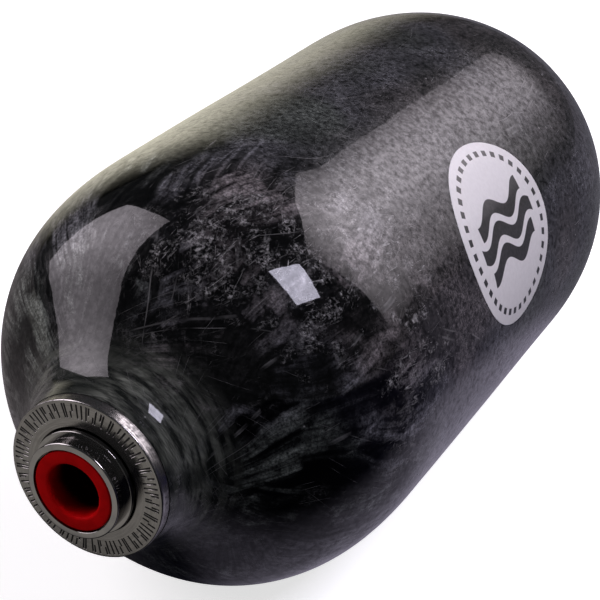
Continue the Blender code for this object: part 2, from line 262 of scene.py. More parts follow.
def add_ring(bm, step, segments):
    """One ring of an outline: a single vertex on the axis, a circle or a hexagon."""
    radius, station = step
    if radius == 0:
        return [bm.verts.new(place(0, 0, station))]
    ring = []
    for angle in circle(segments):
        reach = hexagon_radius(radius, angle) if isinstance(step, Hexagon) else radius
        ring.append(bm.verts.new(place(reach, angle, station)))
    return ring


def join_rings(bm, first, second):
    """Join two rings. The finer one may have a whole multiple of the other's vertices."""
    if len(first) < len(second):
        first, second = second, first
    count = len(first)
    if len(second) == 1:
        for index in range(count):
            bm.faces.new((first[index], first[(index + 1) % count], second[0]))
        return
    ratio = count // len(second)
    for index in range(len(second)):
        fine = [first[(index * ratio + step) % count] for step in range(ratio + 1)]
        coarse = [second[(index + 1) % len(second)], second[index]]
        bm.faces.new(fine + coarse)


def thread_rows(thread):
    """Stations within one pitch, in pitches, and whether each is on the ridge's tip."""
    flank = (1 - thread.base_flat - thread.tip_flat) / 2
    tip_start = thread.base_flat + flank
    return ((0.0, False), (thread.base_flat, False),
            (tip_start, True), (tip_start + thread.tip_flat, True))


def thread_vertex(bm, thread, column, row, segments):
    """Vertex of a helical ridge. The ridge fades in and out over FADE_TURNS at its ends."""
    rows = thread_rows(thread)
    turn, within = divmod(row, len(rows))
    offset, on_tip = rows[within]
    along = turn + column / segments
    fade = max(0.0, min(along, thread.turns - along) / FADE_TURNS)
    height = min(1.0, fade) * (thread.tip - thread.base) if on_tip else 0.0
    station = thread.start + thread.pitch * (along + offset)
    return bm.verts.new(place(thread.base + height, math.tau * column / segments, station))


def join_thread(bm, low, high, thread):
    """Right-hand helical ridge between two rings of its base radius.

    Going once round the axis climbs one pitch, so the last column of vertices is the first one
    again, shifted by the rows of one pitch. Fans of triangles close that step at both ends.
    """
    segments = len(low)
    pitch_rows = len(thread_rows(thread))
    last = pitch_rows * thread.turns
    columns = []
    for column in range(segments):
        height = last + pitch_rows if column == 0 else last
        columns.append([thread_vertex(bm, thread, column, row, segments) for row in range(height + 1)])
    seam = columns[0]
    columns.append(seam[pitch_rows:])
    for left, right in zip(columns, columns[1:]):
        for row in range(last):
            bm.faces.new((left[row], right[row], right[row + 1], left[row + 1]))
    for column in range(segments - 1):
        bm.faces.new((low[column], low[column + 1], columns[column + 1][0], columns[column][0]))
    for column in range(1, segments):
        following = high[(column + 1) % segments]
        bm.faces.new((high[column], following, columns[column + 1][last], columns[column][last]))
    bm.faces.new((low[-1], low[0], seam[0], columns[-2][0]))
    bm.faces.new((high[0], high[1], columns[1][last], seam[-1]))
    for row in range(pitch_rows):
        bm.faces.new((columns[-2][0], seam[row], seam[row + 1]))
        bm.faces.new((columns[1][last], seam[last + row], seam[last + row + 1]))


def add_object(name, data):
    result = bpy.data.objects.new(name, data)
    bpy.context.scene.collection.objects.link(result)
    return result


def make_object(bm, name, surface):
    """Turn a closed mesh into a smooth-shaded object with one material."""
    bmesh.ops.recalc_face_normals(bm, faces=bm.faces)
    mesh = bpy.data.meshes.new(name)
    bm.to_mesh(mesh)
    bm.free()
    mesh.shade_smooth()
    mesh.set_sharp_from_angle(angle=SHARP_ANGLE)
    mesh.materials.append(surface)
    return add_object(name, mesh)


def join_steps(bm, steps, closed=False):
    if closed:
        steps = steps + [steps[0]]
    for index in range(len(steps) - 1):
        first, second = steps[index], steps[index + 1]
        if isinstance(second, Thread):
            ends = sorted((first, steps[index + 2]), key=lambda ring: ring[0].co.y)
            join_thread(bm, *ends, second)
        elif not isinstance(first, Thread):
            join_rings(bm, first, second)


def turned(name, outline, surface, segments=TURNED_SEGMENTS, closed=False):
    """Turn an outline about the axis. It runs from axis to axis, or round a closed loop."""
    bm = bmesh.new()
    steps = [step if isinstance(step, Thread) else add_ring(bm, step, segments) for step in outline]
    join_steps(bm, steps, closed)
    return make_object(bm, name, surface)


def arc(centre, size, start, end, steps=EDGE_STEPS):
    """Points on a circle in the (radius, station) plane. Angle 0 is outward, 90 is into the cylinder."""
    points = []
    for step in range(steps + 1):
        angle = math.radians(start + (end - start) * step / steps)
        points.append((centre[0] + size * math.cos(angle), centre[1] + size * math.sin(angle)))
    return points


def stands_for(piece, node, body):
    """The piece replaces a CAD node and rides on its body."""
    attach(piece, body)
    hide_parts(node)
    return piece


# ---------------- the skin's outline

def on_dome(dome, angle):
    """Point on a dome. Angle 0 is where the straight side ends, and a quarter turn is the pole."""
    power = 2 / dome.power
    return dome.radius * math.cos(angle) ** power, dome.base + dome.reach * math.sin(angle) ** power


def dome_arc(dome, start, end, steps):
    return [on_dome(dome, start + (end - start) * (step / steps)) for step in range(steps + 1)]


def near_dome(depth):
    """The near dome, a given depth below the skin. The liner's is a little blunter and shorter."""
    share = depth / LINER_DEPTH
    return Dome(SKIN_RADIUS - depth, LINER_DOME_LOSS * share - NEAR_DOME_DEPTH,
                NEAR_DOME_POWER - LINER_POWER_LOSS * share, NEAR_SPRING)


def crown_curve(dome, lip, steps):
    """Hollow sweep from a lip on the neck out to the near dome."""
    join = on_dome(dome, CROWN_ANGLE)
    beside = on_dome(dome, CROWN_ANGLE + TINY_ANGLE)
    slope = (beside[1] - join[1]) / (beside[0] - join[0])
    spread = join[0] - lip[0]
    drop = join[1] - lip[1]
    neck_handle = (lip[0] + LIP_FLARE * spread, lip[1] + NECK_PULL * drop)
    crown_handle = (join[0] - CROWN_PULL * spread, join[1] - CROWN_PULL * spread * slope)
    controls = [Vector((*point, 0)) for point in (lip, neck_handle, crown_handle, join)]
    return [(point.x, point.y) for point in interpolate_bezier(*controls, steps + 1)]


def skin_curve(depth, lip, steps):
    """From a lip on the neck, over the near dome and the side, to the far pole."""
    near = near_dome(depth)
    far = Dome(SKIN_RADIUS - depth, FAR_DOME_DEPTH - depth, FAR_DOME_POWER, FAR_SPRING)
    side = dome_arc(near, CROWN_ANGLE, 0, steps)[1:] + dome_arc(far, 0, math.pi / 2, steps)[:-1]
    return crown_curve(near, lip, steps) + side + [(0, FAR_POLE - depth)]


def evenly_spaced(points, spacing):
    """Resample an outline at nearly equal steps. Returns (radius, station, distance) triples."""
    distances = [0.0]
    for first, second in zip(points, points[1:]):
        distances.append(distances[-1] + math.dist(first, second))
    count = round(distances[-1] / spacing)
    result = []
    segment = 0
    for index in range(count + 1):
        target = distances[-1] * index / count
        while segment < len(points) - 2 and distances[segment + 1] < target:
            segment += 1
        share = (target - distances[segment]) / (distances[segment + 1] - distances[segment])
        first, second = points[segment], points[segment + 1]
        radius = first[0] + (second[0] - first[0]) * share
        station = first[1] + (second[1] - first[1]) * share
        result.append((radius, station, target))
    return result


def wave_height(point, along):
    """Height of the winding's slight waves at a point, in millimetres."""
    fade = min(1.0, along / WAVE_FADE)
    height = 0.0
    for layer, (size, length) in enumerate(WAVES):
        where = point / (MM * length) + Vector((0, 0, 10 * layer))
        height += size * noise.noise(where)
    return height * fade


def skin_point(radius, angle, station, slope, along):
    """Point of the waved skin. Slope is the outward normal's (radial, axial) direction."""
    base = place(radius, angle, station)
    height = wave_height(base, along) * MM
    outward = Vector((slope[0] * math.sin(angle), slope[1], slope[0] * math.cos(angle)))
    return base + outward * height


def outline_normals(rows):
    normals = []
    for before, after in zip(rows[:1] + rows[:-1], rows[1:] + rows[-1:]):
        run = (after[0] - before[0], after[1] - before[1])
        length = math.hypot(*run)
        normals.append((run[1] / length, -run[0] / length))
    return normals


def tow_sweep(rows):
    """Angle that a helical tow has turned through at each row, by Clairaut's rule."""
    sweep = [0.0]
    for before, after in zip(rows, rows[1:]):
        radius = max((before[0] + after[0]) / 2, 1.0)
        share = min(TOW_TURN_RADIUS / radius, 1.0)
        slope = min(share / math.sqrt(max(1 - share * share, 1e-6)), STEEPEST_TOW)
        turn = slope * (after[2] - before[2]) / max(radius, TOW_TURN_RADIUS / 2)
        sweep.append(sweep[-1] + turn)
    return sweep


def mark_vertices(mesh, name, values):
    """Store one number per vertex for the material to read."""
    attribute = mesh.attributes.new(name, "FLOAT", "POINT")
    attribute.data.foreach_set("value", values)


def coated_skin(surface):
    """Outer skin: fibre wrap under clear resin, as one closed shell open at the neck."""
    cuff = [(SLEEVE_RADIUS + CUFF_EDGE, CUFF_FRONT), (SLEEVE_RADIUS + CUFF_SWELL, CUFF_SHOULDER)]
    outside = cuff + skin_curve(0, (LIP_RADIUS, LIP_STATION), SKIN_CURVE_STEPS)
    fine = evenly_spaced(outside, SKIN_STEP)
    normals = outline_normals(fine)
    sweep = tow_sweep(fine)
    bm = bmesh.new()
    rings, along, turned_by = [], [], []
    for (radius, station, distance), normal, turn in zip(fine[:-1], normals, sweep):
        rings.append([bm.verts.new(skin_point(radius, angle, station, normal, distance))
                      for angle in circle(SKIN_SEGMENTS)])
        along += [distance] * SKIN_SEGMENTS
        turned_by += [turn] * SKIN_SEGMENTS
    rings.append([bm.verts.new(place(0, 0, FAR_POLE))])
    along.append(fine[-1][2])
    turned_by.append(sweep[-1])
    lip = [(SLEEVE_RADIUS, CUFF_FRONT)]
    inner = skin_curve(SKIN_THICKNESS, (SLEEVE_RADIUS, LIP_STATION + INNER_LIP_SETBACK), INNER_CURVE_STEPS)
    inside = [add_ring(bm, step, SKIN_SEGMENTS) for step in lip + inner]
    inner_count = len(bm.verts) - len(along)
    for chain in (rings, [rings[0]] + inside):
        for first, second in zip(chain, chain[1:]):
            join_rings(bm, first, second)
    piece = make_object(bm, "coated_skin", surface)
    mark_vertices(piece.data, "along", along + [0.0] * inner_count)
    mark_vertices(piece.data, "sweep", turned_by + [0.0] * inner_count)
    return piece


# ---------------- label

def label_frame():
    """Angle and station of the label's centre, and its radius, from the CAD node."""
    points = [vertex.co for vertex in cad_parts["round_label"].data.vertices]
    centre = sum(points, Vector()) / len(points)
    low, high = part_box("round_label")
    return math.atan2(centre.x, centre.z), station_of((low.y + high.y) / 2), (high.y - low.y) / 2 / MM


LABEL_ANGLE, LABEL_STATION, LABEL_RADIUS = label_frame()


def label_film(surface):
    """Thin round film that follows the waved skin and stands slightly proud of it."""
    bm = bmesh.new()
    flat_radius = LABEL_RADIUS - LABEL_STAND
    profile = [(step / LABEL_RINGS * flat_radius, LABEL_STAND) for step in range(LABEL_RINGS + 1)]
    profile += [(LABEL_RADIUS, 0.0), (LABEL_RADIUS, -LABEL_SINK)]
    profile += [(LABEL_RADIUS / 2, -LABEL_SINK), (0, -LABEL_SINK)]
    rings = []
    for reach, height in profile:
        ring = []
        for turn in circle(LABEL_SEGMENTS if reach else 1):
            angle = LABEL_ANGLE + reach * math.sin(turn) / SKIN_RADIUS
            station = LABEL_STATION + reach * math.cos(turn)
            base = skin_point(SKIN_RADIUS, angle, station, (1, 0), WAVE_FADE)
            out = Vector((math.sin(angle), 0, math.cos(angle)))
            ring.append(bm.verts.new(base + out * (height * MM)))
        rings.append(ring)
    for first, second in zip(rings, rings[1:]):
        join_rings(bm, first, second)
    return make_object(bm, "label_film", surface)


# ---------------- liner with its neck

def female_thread(major, pitch, male_start, turns):
    """Internal thread whose grooves meet the ridges of the external one."""
    base = major + FEMALE_EASE
    start = male_start + ((1 + ROOT_FLAT) / 2 - CREST_FLAT / 2) * pitch
    return Thread(base, base - BASIC_DEPTH * pitch, pitch, start, turns, CREST_FLAT, ROOT_FLAT)


def male_thread(major, pitch, start, turns):
    tip = major - MALE_EASE
    return Thread(tip - BASIC_DEPTH * pitch, tip, pitch, start, turns, ROOT_FLAT, CREST_FLAT)


def hollow_curve(steps=LINER_CURVE_STEPS):
    """Inside of the liner, from the passage under the port to the far pole."""
    radius = SKIN_RADIUS - LINER_DEPTH - LINER_WALL
    near = Dome(radius, -NEAR_HOLLOW_DEPTH, HOLLOW_POWER, NEAR_SPRING)
    far = Dome(radius, FAR_DOME_DEPTH - LINER_DEPTH - FAR_HOLLOW_WALL, HOLLOW_POWER, FAR_SPRING)
    mouth = math.acos((PASSAGE_RADIUS / radius) ** (HOLLOW_POWER / 2))
    side = dome_arc(near, mouth, 0, steps) + dome_arc(far, 0, math.pi / 2, steps)[:-1]
    return side + [(0, FAR_SPRING + far.reach)]


def mark_reach(column):
    """Radii between which the face is cut at a column of the graduation, or None."""
    slot, within = divmod(column, MARK_COLUMNS)
    kind = MARK_RHYTHM[slot % len(MARK_RHYTHM)]
    if within >= MARK_WIDTH or kind == 0:
        return None
    low = MARK_HALF if kind == 1 else MARK_BAND[0]
    high = MARK_HALF if kind == 2 else MARK_BAND[1]
    return low, high


def face_ring(bm, radius, cut):
    """Ring of the neck's face. Vertices inside a mark sink into the metal and are listed in cut."""
    ring = []
    for column, angle in enumerate(circle(MARK_SLOTS * MARK_COLUMNS)):
        reach = mark_reach(column)
        inside = reach is not None and reach[0] < radius < reach[1]
        vertex = bm.verts.new(place(radius, angle, MARK_DEPTH if inside else 0.0))
        if inside:
            cut.append(vertex)
        ring.append(vertex)
    return ring


def face_radii():
    """Radii of the face's rings: closely paired where marks begin and end."""
    radii = [PORT_MOUTH + FACE_MARGIN]
    for edge in (MARK_BAND[0], MARK_HALF, MARK_BAND[1]):
        radii += [edge - MARK_CRISP, edge + MARK_CRISP]
    return radii


def liner(surface):
    """Seamless vessel whose neck boss shows round the nose, with marks cut into its face."""
    thread = female_thread(*NECK_THREAD)
    outside = skin_curve(LINER_DEPTH, (BOSS_RADIUS, BOSS_FOOT), LINER_CURVE_STEPS)
    bm = bmesh.new()
    edge = arc((BOSS_RADIUS - BOSS_EDGE, BOSS_EDGE), BOSS_EDGE, 0, -90)
    side = outside[::-1] + [(BOSS_RADIUS, BOSS_SIDE_FRONT)]
    bore = [(PORT_MOUTH, 0.0), (thread.base, PORT_MOUTH - thread.base), thread,
            (thread.base, NECK_RELIEF_END), (SEAL_BORE, NECK_RELIEF_END),
            (SEAL_BORE, SEAL_SHOULDER), (PASSAGE_RADIUS, SEAL_SHOULDER)]
    cut = []
    steps = [add_ring(bm, step, MARK_SLOTS) for step in side]
    steps += [add_ring(bm, step, MARK_SLOTS * MARK_COLUMNS) for step in edge]
    steps += [face_ring(bm, radius, cut) for radius in reversed(face_radii())]
    bore_steps = bore + hollow_curve()
    steps += [step if isinstance(step, Thread) else add_ring(bm, step, MARK_SLOTS) for step in bore_steps]
    join_steps(bm, steps)
    bm.verts.index_update()
    sunk = {vertex.index for vertex in cut}
    depth = [1.0 if index in sunk else 0.0 for index in range(len(bm.verts))]
    piece = make_object(bm, "neck_and_vessel", surface)
    mark_vertices(piece.data, "cut", depth)
    return piece


# ---------------- nose, plug and seals

def bright_nose(surface):
    """Steel bush: bright nose and bead outside, the port's own thread inside."""
    outer = male_thread(*NECK_THREAD)
    inner = female_thread(*PORT_THREAD)
    nose = [(COUNTERBORE_RADIUS, NOSE_FRONT + MOUTH_EDGE), (COUNTERBORE_RADIUS + MOUTH_EDGE, NOSE_FRONT)]
    nose += arc((NOSE_RADIUS - NOSE_EDGE, NOSE_FRONT + NOSE_EDGE), NOSE_EDGE, -90, 0)
    bead = [(NOSE_RADIUS, BEAD_FRONT)]
    bead += arc((BEAD_RADIUS - BEAD_EDGE, BEAD_FRONT + BEAD_EDGE), BEAD_EDGE, -90, 0)
    bead += [(BEAD_RADIUS, BEAD_BACK)]
    shank = [(outer.base, BEAD_BACK), outer, (outer.base, INSERT_END - EDGE),
             (outer.base - EDGE, INSERT_END), (PASSAGE_RADIUS, INSERT_END)]
    bore = [(PASSAGE_RADIUS, PORT_RELIEF_END + RELIEF_TAPER), (inner.base, PORT_RELIEF_END), inner,
            (inner.base, COUNTERBORE_END), (COUNTERBORE_RADIUS, COUNTERBORE_END)]
    return turned("bright_nose", nose + bead + shank + bore, surface, closed=True)


def red_plug(surface):
    """Hollow screw plug with a rounded rim and a hexagon socket at the bottom of its recess."""
    thread = male_thread(*PORT_THREAD)
    tail = [(0, PLUG_END), (thread.base - EDGE, PLUG_END), (thread.base, PLUG_END - EDGE), thread,
            (thread.base, PLUG_LAND_BACK)]
    land = [(PLUG_LAND_RADIUS, PLUG_LAND_BACK), (PLUG_LAND_RADIUS, PLUG_LAND_FRONT)]
    groove = [(PLUG_GROOVE_RADIUS, PLUG_LAND_FRONT), (PLUG_GROOVE_RADIUS, PLUG_HEAD_BACK)]
    outer_centre = (PLUG_HEAD_RADIUS - EDGE, PLUG_FRONT + EDGE)
    inner_centre = (RECESS_RADIUS + PLUG_RIM_ROUND, PLUG_FRONT + PLUG_RIM_ROUND)
    head = [(PLUG_HEAD_RADIUS, PLUG_HEAD_BACK)] + arc(outer_centre, EDGE, 0, -90)
    recess = arc(inner_centre, PLUG_RIM_ROUND, -90, -180) + [(RECESS_RADIUS, RECESS_FLOOR)]
    socket = [Hexagon(SOCKET_HALF_WIDTH, RECESS_FLOOR), Hexagon(SOCKET_HALF_WIDTH, SOCKET_FLOOR),
              (0, SOCKET_FLOOR)]
    return turned("red_plug", tail + land + groove + head + recess + socket, surface)


def seal(name, node, surface, section=20):
    """O-ring whose radius, station and thickness come from its CAD node."""
    low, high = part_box(node)
    tube = (high.y - low.y) / 2 / MM
    centre = (high.x / MM - tube, station_of((low.y + high.y) / 2))
    outline = arc(centre, tube, 0, 360, section)[:-1]
    return turned(name, outline, surface, closed=True)


# ---------------- node helpers

class Nodes:
    """A node tree, with short calls to add and link nodes."""

    def __init__(self, owner, output):
        owner.use_nodes = True
        self.tree = owner.node_tree
        self.output = self.tree.nodes[output].inputs["Surface"]

    def node(self, kind, inputs=None, **settings):
        made = self.tree.nodes.new("ShaderNode" + kind)
        for key, value in settings.items():
            setattr(made, key, value)
        for key, value in (inputs or {}).items():
            self.feed(made.inputs[key], value)
        return made

    def feed(self, socket, value):
        if isinstance(value, bpy.types.NodeSocket):
            self.tree.links.new(value, socket)
        elif isinstance(value, tuple) and socket.type == "RGBA" and len(value) == 3:
            socket.default_value = (*value, 1.0)
        else:
            socket.default_value = value

    def show(self, closure):
        """Make a closure what the tree gives out."""
        self.tree.links.new(closure, self.output)

    def show_by_ray(self, seen, otherwise):
        """Give out one closure to the camera, and another to reflections and bounced light."""
        directly = self.node("LightPath").outputs["Is Camera Ray"]
        self.show(self.node("MixShader", {0: directly, 1: otherwise, 2: seen}).outputs[0])

    def math(self, operation, *values):
        made = self.node("Math", operation=operation)
        for socket, value in zip(made.inputs, values):
            self.feed(socket, value)
        return made.outputs[0]

    def product(self, *values):
        return reduce(partial(self.math, "MULTIPLY"), values)

    def highest(self, *values):
        return reduce(partial(self.math, "MAXIMUM"), values)

    def hypotenuse(self, a, b):
        return self.math("SQRT", self.math("ADD", self.product(a, a), self.product(b, b)))

    def off_from(self, value, middle):
        return self.math("ABSOLUTE", self.math("SUBTRACT", value, middle))

    def combine(self, x, y, z):
        return self.node("CombineXYZ", {0: x, 1: y, 2: z}).outputs[0]

    def position(self):
        """Object coordinates in millimetres."""
        coordinates = self.node("TexCoord").outputs["Object"]
        return self.node("VectorMath", {0: coordinates, 3: 1 / MM}, operation="SCALE").outputs[0]

    def axes(self, vector):
        """A vector's parts, by the keys X, Y and Z."""
        return self.node("SeparateXYZ", {0: vector}).outputs

    def angle_round_axis(self, where):
        parts = self.axes(where)
        return self.math("ARCTAN2", parts["X"], parts["Z"])

    def attribute(self, name):
        return self.node("Attribute", attribute_name=name).outputs["Fac"]

    def noise(self, vector, scale, detail=2.0, roughness=0.5):
        made = self.node("TexNoise", {"Vector": vector, "Scale": scale, "Detail": detail,
                                      "Roughness": roughness})
        return made.outputs["Fac"]

    def ramp(self, value, low, high, out_low=0.0, out_high=1.0, smooth=True):
        """Map low..high to out_low..out_high, clamped."""
        made = self.node("MapRange", {0: value, 1: low, 2: high, 3: out_low, 4: out_high})
        made.interpolation_type = "SMOOTHSTEP" if smooth else "LINEAR"
        return made.outputs[0]

    def scale(self, value, out_low, out_high):
        return self.ramp(value, 0.0, 1.0, out_low, out_high)

    def spread(self, noise_value, out_low=0.0, out_high=1.0):
        """Map the range that a noise mostly keeps to."""
        return self.ramp(noise_value, 0.3, 0.7, out_low, out_high)

    def mix(self, share, first, second):
        """Mix two colours."""
        return self.node("Mix", {0: share, 6: first, 7: second}, data_type="RGBA").outputs[2]

    def blend(self, share, first, second):
        """Mix two numbers."""
        return self.node("Mix", {0: share, 2: first, 3: second}, data_type="FLOAT").outputs[0]

    def bump(self, height, distance, strength=1.0):
        return self.node("Bump", {"Height": height, "Distance": distance, "Strength": strength}).outputs[0]

    def distance(self, vector, point):
        return self.node("VectorMath", {0: vector, 1: tuple(point)}, operation="DISTANCE").outputs["Value"]


class Shader(Nodes):
    """A material's node tree."""

    def __init__(self, name):
        self.material = bpy.data.materials.new(name)
        super().__init__(self.material, "Material Output")
        self.surface = self.tree.nodes["Principled BSDF"]

    def set(self, **inputs):
        """Set inputs of the Principled node."""
        for key, value in inputs.items():
            self.feed(self.surface.inputs[key.replace("_", " ")], value)


def on_circle(s, angle, height, radius=PATTERN_RADIUS):
    """Wrap an angle and a height on a cylinder, so that a pattern has no seam."""
    across = s.product(s.math("COSINE", angle), radius)
    up = s.product(s.math("SINE", angle), radius)
    return s.combine(across, up, height)


# ---------------- patterns of the wrap

Spot = namedtuple("Spot", "where angle along sweep")
Weave = namedtuple("Weave", "grain fine mottle streak tow cloud side_share")


def skin_spot(s):
    """Where the shaded point lies on the skin. Its angle wanders a little, as laid tows do."""
    where = s.position()
    wander = s.ramp(s.noise(where, 0.05, 1.0), 0.2, 0.8, -0.06, 0.06, smooth=False)
    angle = s.math("ADD", s.angle_round_axis(where), wander)
    return Spot(where, angle, s.attribute("along"), s.attribute("sweep"))


def winding(s, spot, lean, stretch, radius=PATTERN_RADIUS):
    """Coordinates that run along a helical tow: slow along it and quick across it."""
    turn = s.math("MULTIPLY_ADD", spot.sweep, lean, spot.angle)
    return on_circle(s, turn, s.product(spot.along, stretch), radius)


def crossed_tows(s, spot):
    """Fine fibres and broad tows. They lie one way in some patches and other ways in the rest."""
    ways = [winding(s, spot, -0.30, 0.09), winding(s, spot, 0.45, 0.09), winding(s, spot, -1.5, 0.12)]
    over = s.ramp(s.noise(spot.where, 0.07, 2.0), 0.44, 0.56)
    across = s.ramp(s.noise(spot.where, 0.045, 1.0), 0.55, 0.60)

    def laid(scale, detail, roughness):
        right, left, steep = [s.noise(way, scale, detail, roughness) for way in ways]
        return s.blend(across, s.blend(over, right, left), steep)

    return laid(0.8, 4.0, 0.65), laid(0.20, 2.0, 0.5)


def woven(s, spot):
    """The patterns that colour, shine and wear share."""
    fine, broad = crossed_tows(s, spot)
    grain = s.noise(spot.where, 0.75, 5.0, 0.78)
    return Weave(grain=grain, fine=fine,
                 mottle=s.ramp(grain, 0.30, 0.72, smooth=False),
                 streak=s.ramp(fine, 0.30, 0.72, smooth=False),
                 tow=s.ramp(broad, 0.36, 0.66),
                 cloud=s.noise(spot.where, 0.07, 2.0, 0.5),
                 side_share=s.ramp(spot.along, DOME_LOOK_END, SIDE_LOOK_START))


def near_spots(s, where, spots, ragged):
    """How close a point is to the nearest of some spots on the skin, from 0 to 1, with a ragged edge."""
    layers = []
    for share, turn, station, reach in spots:
        centre = place(SKIN_RADIUS * share, math.radians(turn), station) / MM
        away = s.math("ADD", s.distance(where, centre), ragged)
        layers.append(s.ramp(away, reach, reach * SPOT_CORE))
    return s.highest(*layers)


def angle_band(s, angle, start, full, fading, end):
    """1 between two angles round the axis, fading to 0 outside them. All in degrees."""
    rise = s.ramp(angle, math.radians(start), math.radians(full))
    fall = s.ramp(angle, math.radians(end), math.radians(fading))
    return s.product(rise, fall)


def fibre_level(s, spot, weave, tow_shade):
    """How light the tows are: mottled on the straight side, streaked and patchy on the domes, and darkened
    by painted shade in the shaded tow spots.
    """
    pale = s.highest(*[angle_band(s, spot.angle, *band) for band in PALE_BANDS])
    on_side = s.product(s.scale(weave.mottle, 0.0, 1.3),
                        s.scale(weave.streak, 0.90, 1.0),
                        s.ramp(weave.cloud, 0.35, 0.65, 0.50, 1.1),
                        s.scale(pale, 1.0, 2.0))
    # Painted shade in the shaded tow spots cuts the domes' level from 7 to 0.25
    on_dome = s.product(s.scale(weave.streak, 0.1, 1.0),
                        s.scale(weave.tow, 0.0, 1.0),
                        s.scale(weave.mottle, 0.1, 1.0),
                        s.ramp(weave.cloud, 0.36, 0.60, 0.04, 1.0),
                        s.scale(tow_shade, 7.0, 0.25))
    grit = s.spread(s.noise(spot.where, 2.2, 2.0), 0.55, 1.45)
    return s.product(s.blend(weave.side_share, on_dome, on_side), grit)


def fibre_colour(s, where, level):
    """Black tows with a slight green or brown tint in patches."""
    patches = s.noise(where, 0.022, 1.0)
    tint = s.mix(s.ramp(patches, 0.40, 0.50), (0.047, 0.052, 0.047), (0.048, 0.048, 0.052))
    tint = s.mix(s.ramp(patches, 0.52, 0.62), tint, (0.057, 0.051, 0.051))
    lit = s.node("VectorMath", {0: tint, 3: level}, operation="SCALE").outputs[0]
    return s.mix(0.02, lit, (0.03, 0.03, 0.04))


def fillet_resin(s, spot, cloud):
    """Greenish glass and resin that sweep round the neck."""
    swirl = s.noise(winding(s, spot, 0.35, 1.1, FILLET_SWIRL_RADIUS), 0.7, 5.0, 0.62)
    fibres = s.noise(winding(s, spot, -0.7, 0.6, FILLET_FIBRE_RADIUS), 0.9, 4.0, 0.65)
    amount = s.product(s.ramp(swirl, 0.36, 0.66), s.spread(fibres, 0.45, 1.1),
                       s.ramp(cloud, 0.40, 0.58, 0.25, 1.1))
    return s.mix(amount, (0.009, 0.011, 0.009), (0.175, 0.185, 0.155))


# ---------------- wear of the skin

def dabs(s, where, scale, low, high):
    """Irregular dabs: only the peaks of a rough noise."""
    return s.ramp(s.noise(where, scale, 5.0, 0.75), low, high)


def hairlines(s, course, where, scale, width, gate):
    """Thin broken lines, where a smooth noise crosses its middle value."""
    line = s.ramp(s.off_from(s.noise(course, scale, 0.0), 0.5), width, 0.0)
    shown = s.ramp(s.noise(where, scale, 3.0), gate, gate + HAIRLINE_FADE)
    return s.product(line, shown)


def scratches(s, spot, grit):
    """Dabs and short lines that lie along the tows, broken up by grit."""
    dabbed = s.highest(dabs(s, winding(s, spot, -0.6, 0.30), 0.6, 0.55, 0.74),
                       dabs(s, winding(s, spot, 1.2, 0.25), 0.7, 0.56, 0.76))
    lines = s.highest(*[
        hairlines(s, winding(s, spot, lean, stretch), spot.where, scale, 0.022, gate)
        for lean, stretch, scale, gate in ((-0.5, 0.06, 0.50, 0.48), (-0.9, 0.07, 0.44, 0.49),
                                           (0.9, 0.05, 0.44, 0.51))])
    return s.highest(s.product(dabbed, s.scale(grit, 0.18, 1.0)),
                     s.product(lines, s.scale(grit, 0.50, 1.2)))


def long_scratches(s, spot):
    """Long faint lines: some along the cylinder, some round it."""
    axial = hairlines(s, winding(s, spot, 0.35, 0.015), spot.where, 0.16, 0.008, 0.50)
    hooped = hairlines(s, winding(s, spot, -1.6, 0.02), spot.where, 0.13, 0.007, 0.52)
    return s.highest(axial, hooped)


def dust(s, where):
    """A few pale specks."""
    cells = s.node("TexVoronoi", {"Vector": where, "Scale": 0.4})
    lot = s.node("SeparateColor", {0: cells.outputs["Color"]}).outputs[0]
    return s.product(s.ramp(cells.outputs["Distance"], 0.10, 0.04), s.math("GREATER_THAN", lot, 0.96))


def scuffs(s, spot, handled, tow_shade):
    """Whitish frosting and scratches in the resin, denser where the cylinder has been handled."""
    grit = s.ramp(s.noise(spot.where, 1.3, 4.0, 0.8), 0.46, 0.62)
    frost = s.product(dabs(s, spot.where, 0.28, 0.46, 0.68), grit)
    elsewhere = s.product(s.ramp(s.noise(spot.where, 0.05, 2.0), 0.48, 0.68, 0.0, 0.40),
                          s.scale(tow_shade, 1.0, 0.15))
    marked = s.product(s.highest(frost, scratches(s, spot, grit)), s.highest(elsewhere, handled))
    return s.highest(marked, s.product(long_scratches(s, spot), 0.30), s.product(dust(s, spot.where), 0.6))


# ---------------- materials of the skin and label

def resin_bump(s, where):
    return s.bump(s.noise(where, 0.35, 2.0), 0.00003, 0.35)


def wound_fibre():
    """Carbon and glass tows under clear resin."""
    s = Shader("wound_fibre_under_resin")
    spot = skin_spot(s)
    weave = woven(s, spot)
    ragged = s.spread(s.noise(spot.where, 0.22, 3.0), -SPOT_RAGGED, SPOT_RAGGED)
    handled = near_spots(s, spot.where, HANDLED_SPOTS, ragged)
    # Painted shade: patches of the domes where the tows are painted dark for how they lie to the light
    tow_shade = near_spots(s, spot.where, SHADED_TOW_SPOTS, ragged)

    fibre = fibre_colour(s, spot.where, fibre_level(s, spot, weave, tow_shade))
    fillet = s.product(s.ramp(spot.along, FILLET_END, FILLET_FULL), 0.95)
    colour = s.mix(fillet, fibre, fillet_resin(s, spot, weave.cloud))
    scuffed = s.product(scuffs(s, spot, handled, tow_shade), 0.85)
    colour = s.mix(scuffed, colour, (0.48, 0.47, 0.46))

    dome_shine = s.product(s.scale(weave.streak, 0.2, 1.0), s.ramp(weave.cloud, 0.40, 0.60, 0.3, 1.0))
    shine = s.product(weave.mottle, s.blend(weave.side_share, dome_shine, 1.0))
    sound = s.product(s.ramp(weave.grain, 0.35, 0.65), s.ramp(weave.fine, 0.35, 0.65, 0.5, 1.0))
    thinnest = s.blend(weave.side_share, 0.72, 0.50)
    s.set(Base_Color=colour, Roughness=s.spread(weave.grain, 0.15, 0.27),
          Normal=s.bump(weave.grain, 0.00010, 0.6), Specular_IOR_Level=s.scale(shine, 0.0, 0.5),
          Coat_Weight=s.ramp(sound, 0.0, 0.8, thinnest, 1.0, smooth=False), Coat_Roughness=0.03,
          Coat_Normal=resin_bump(s, spot.where))
    return s.material


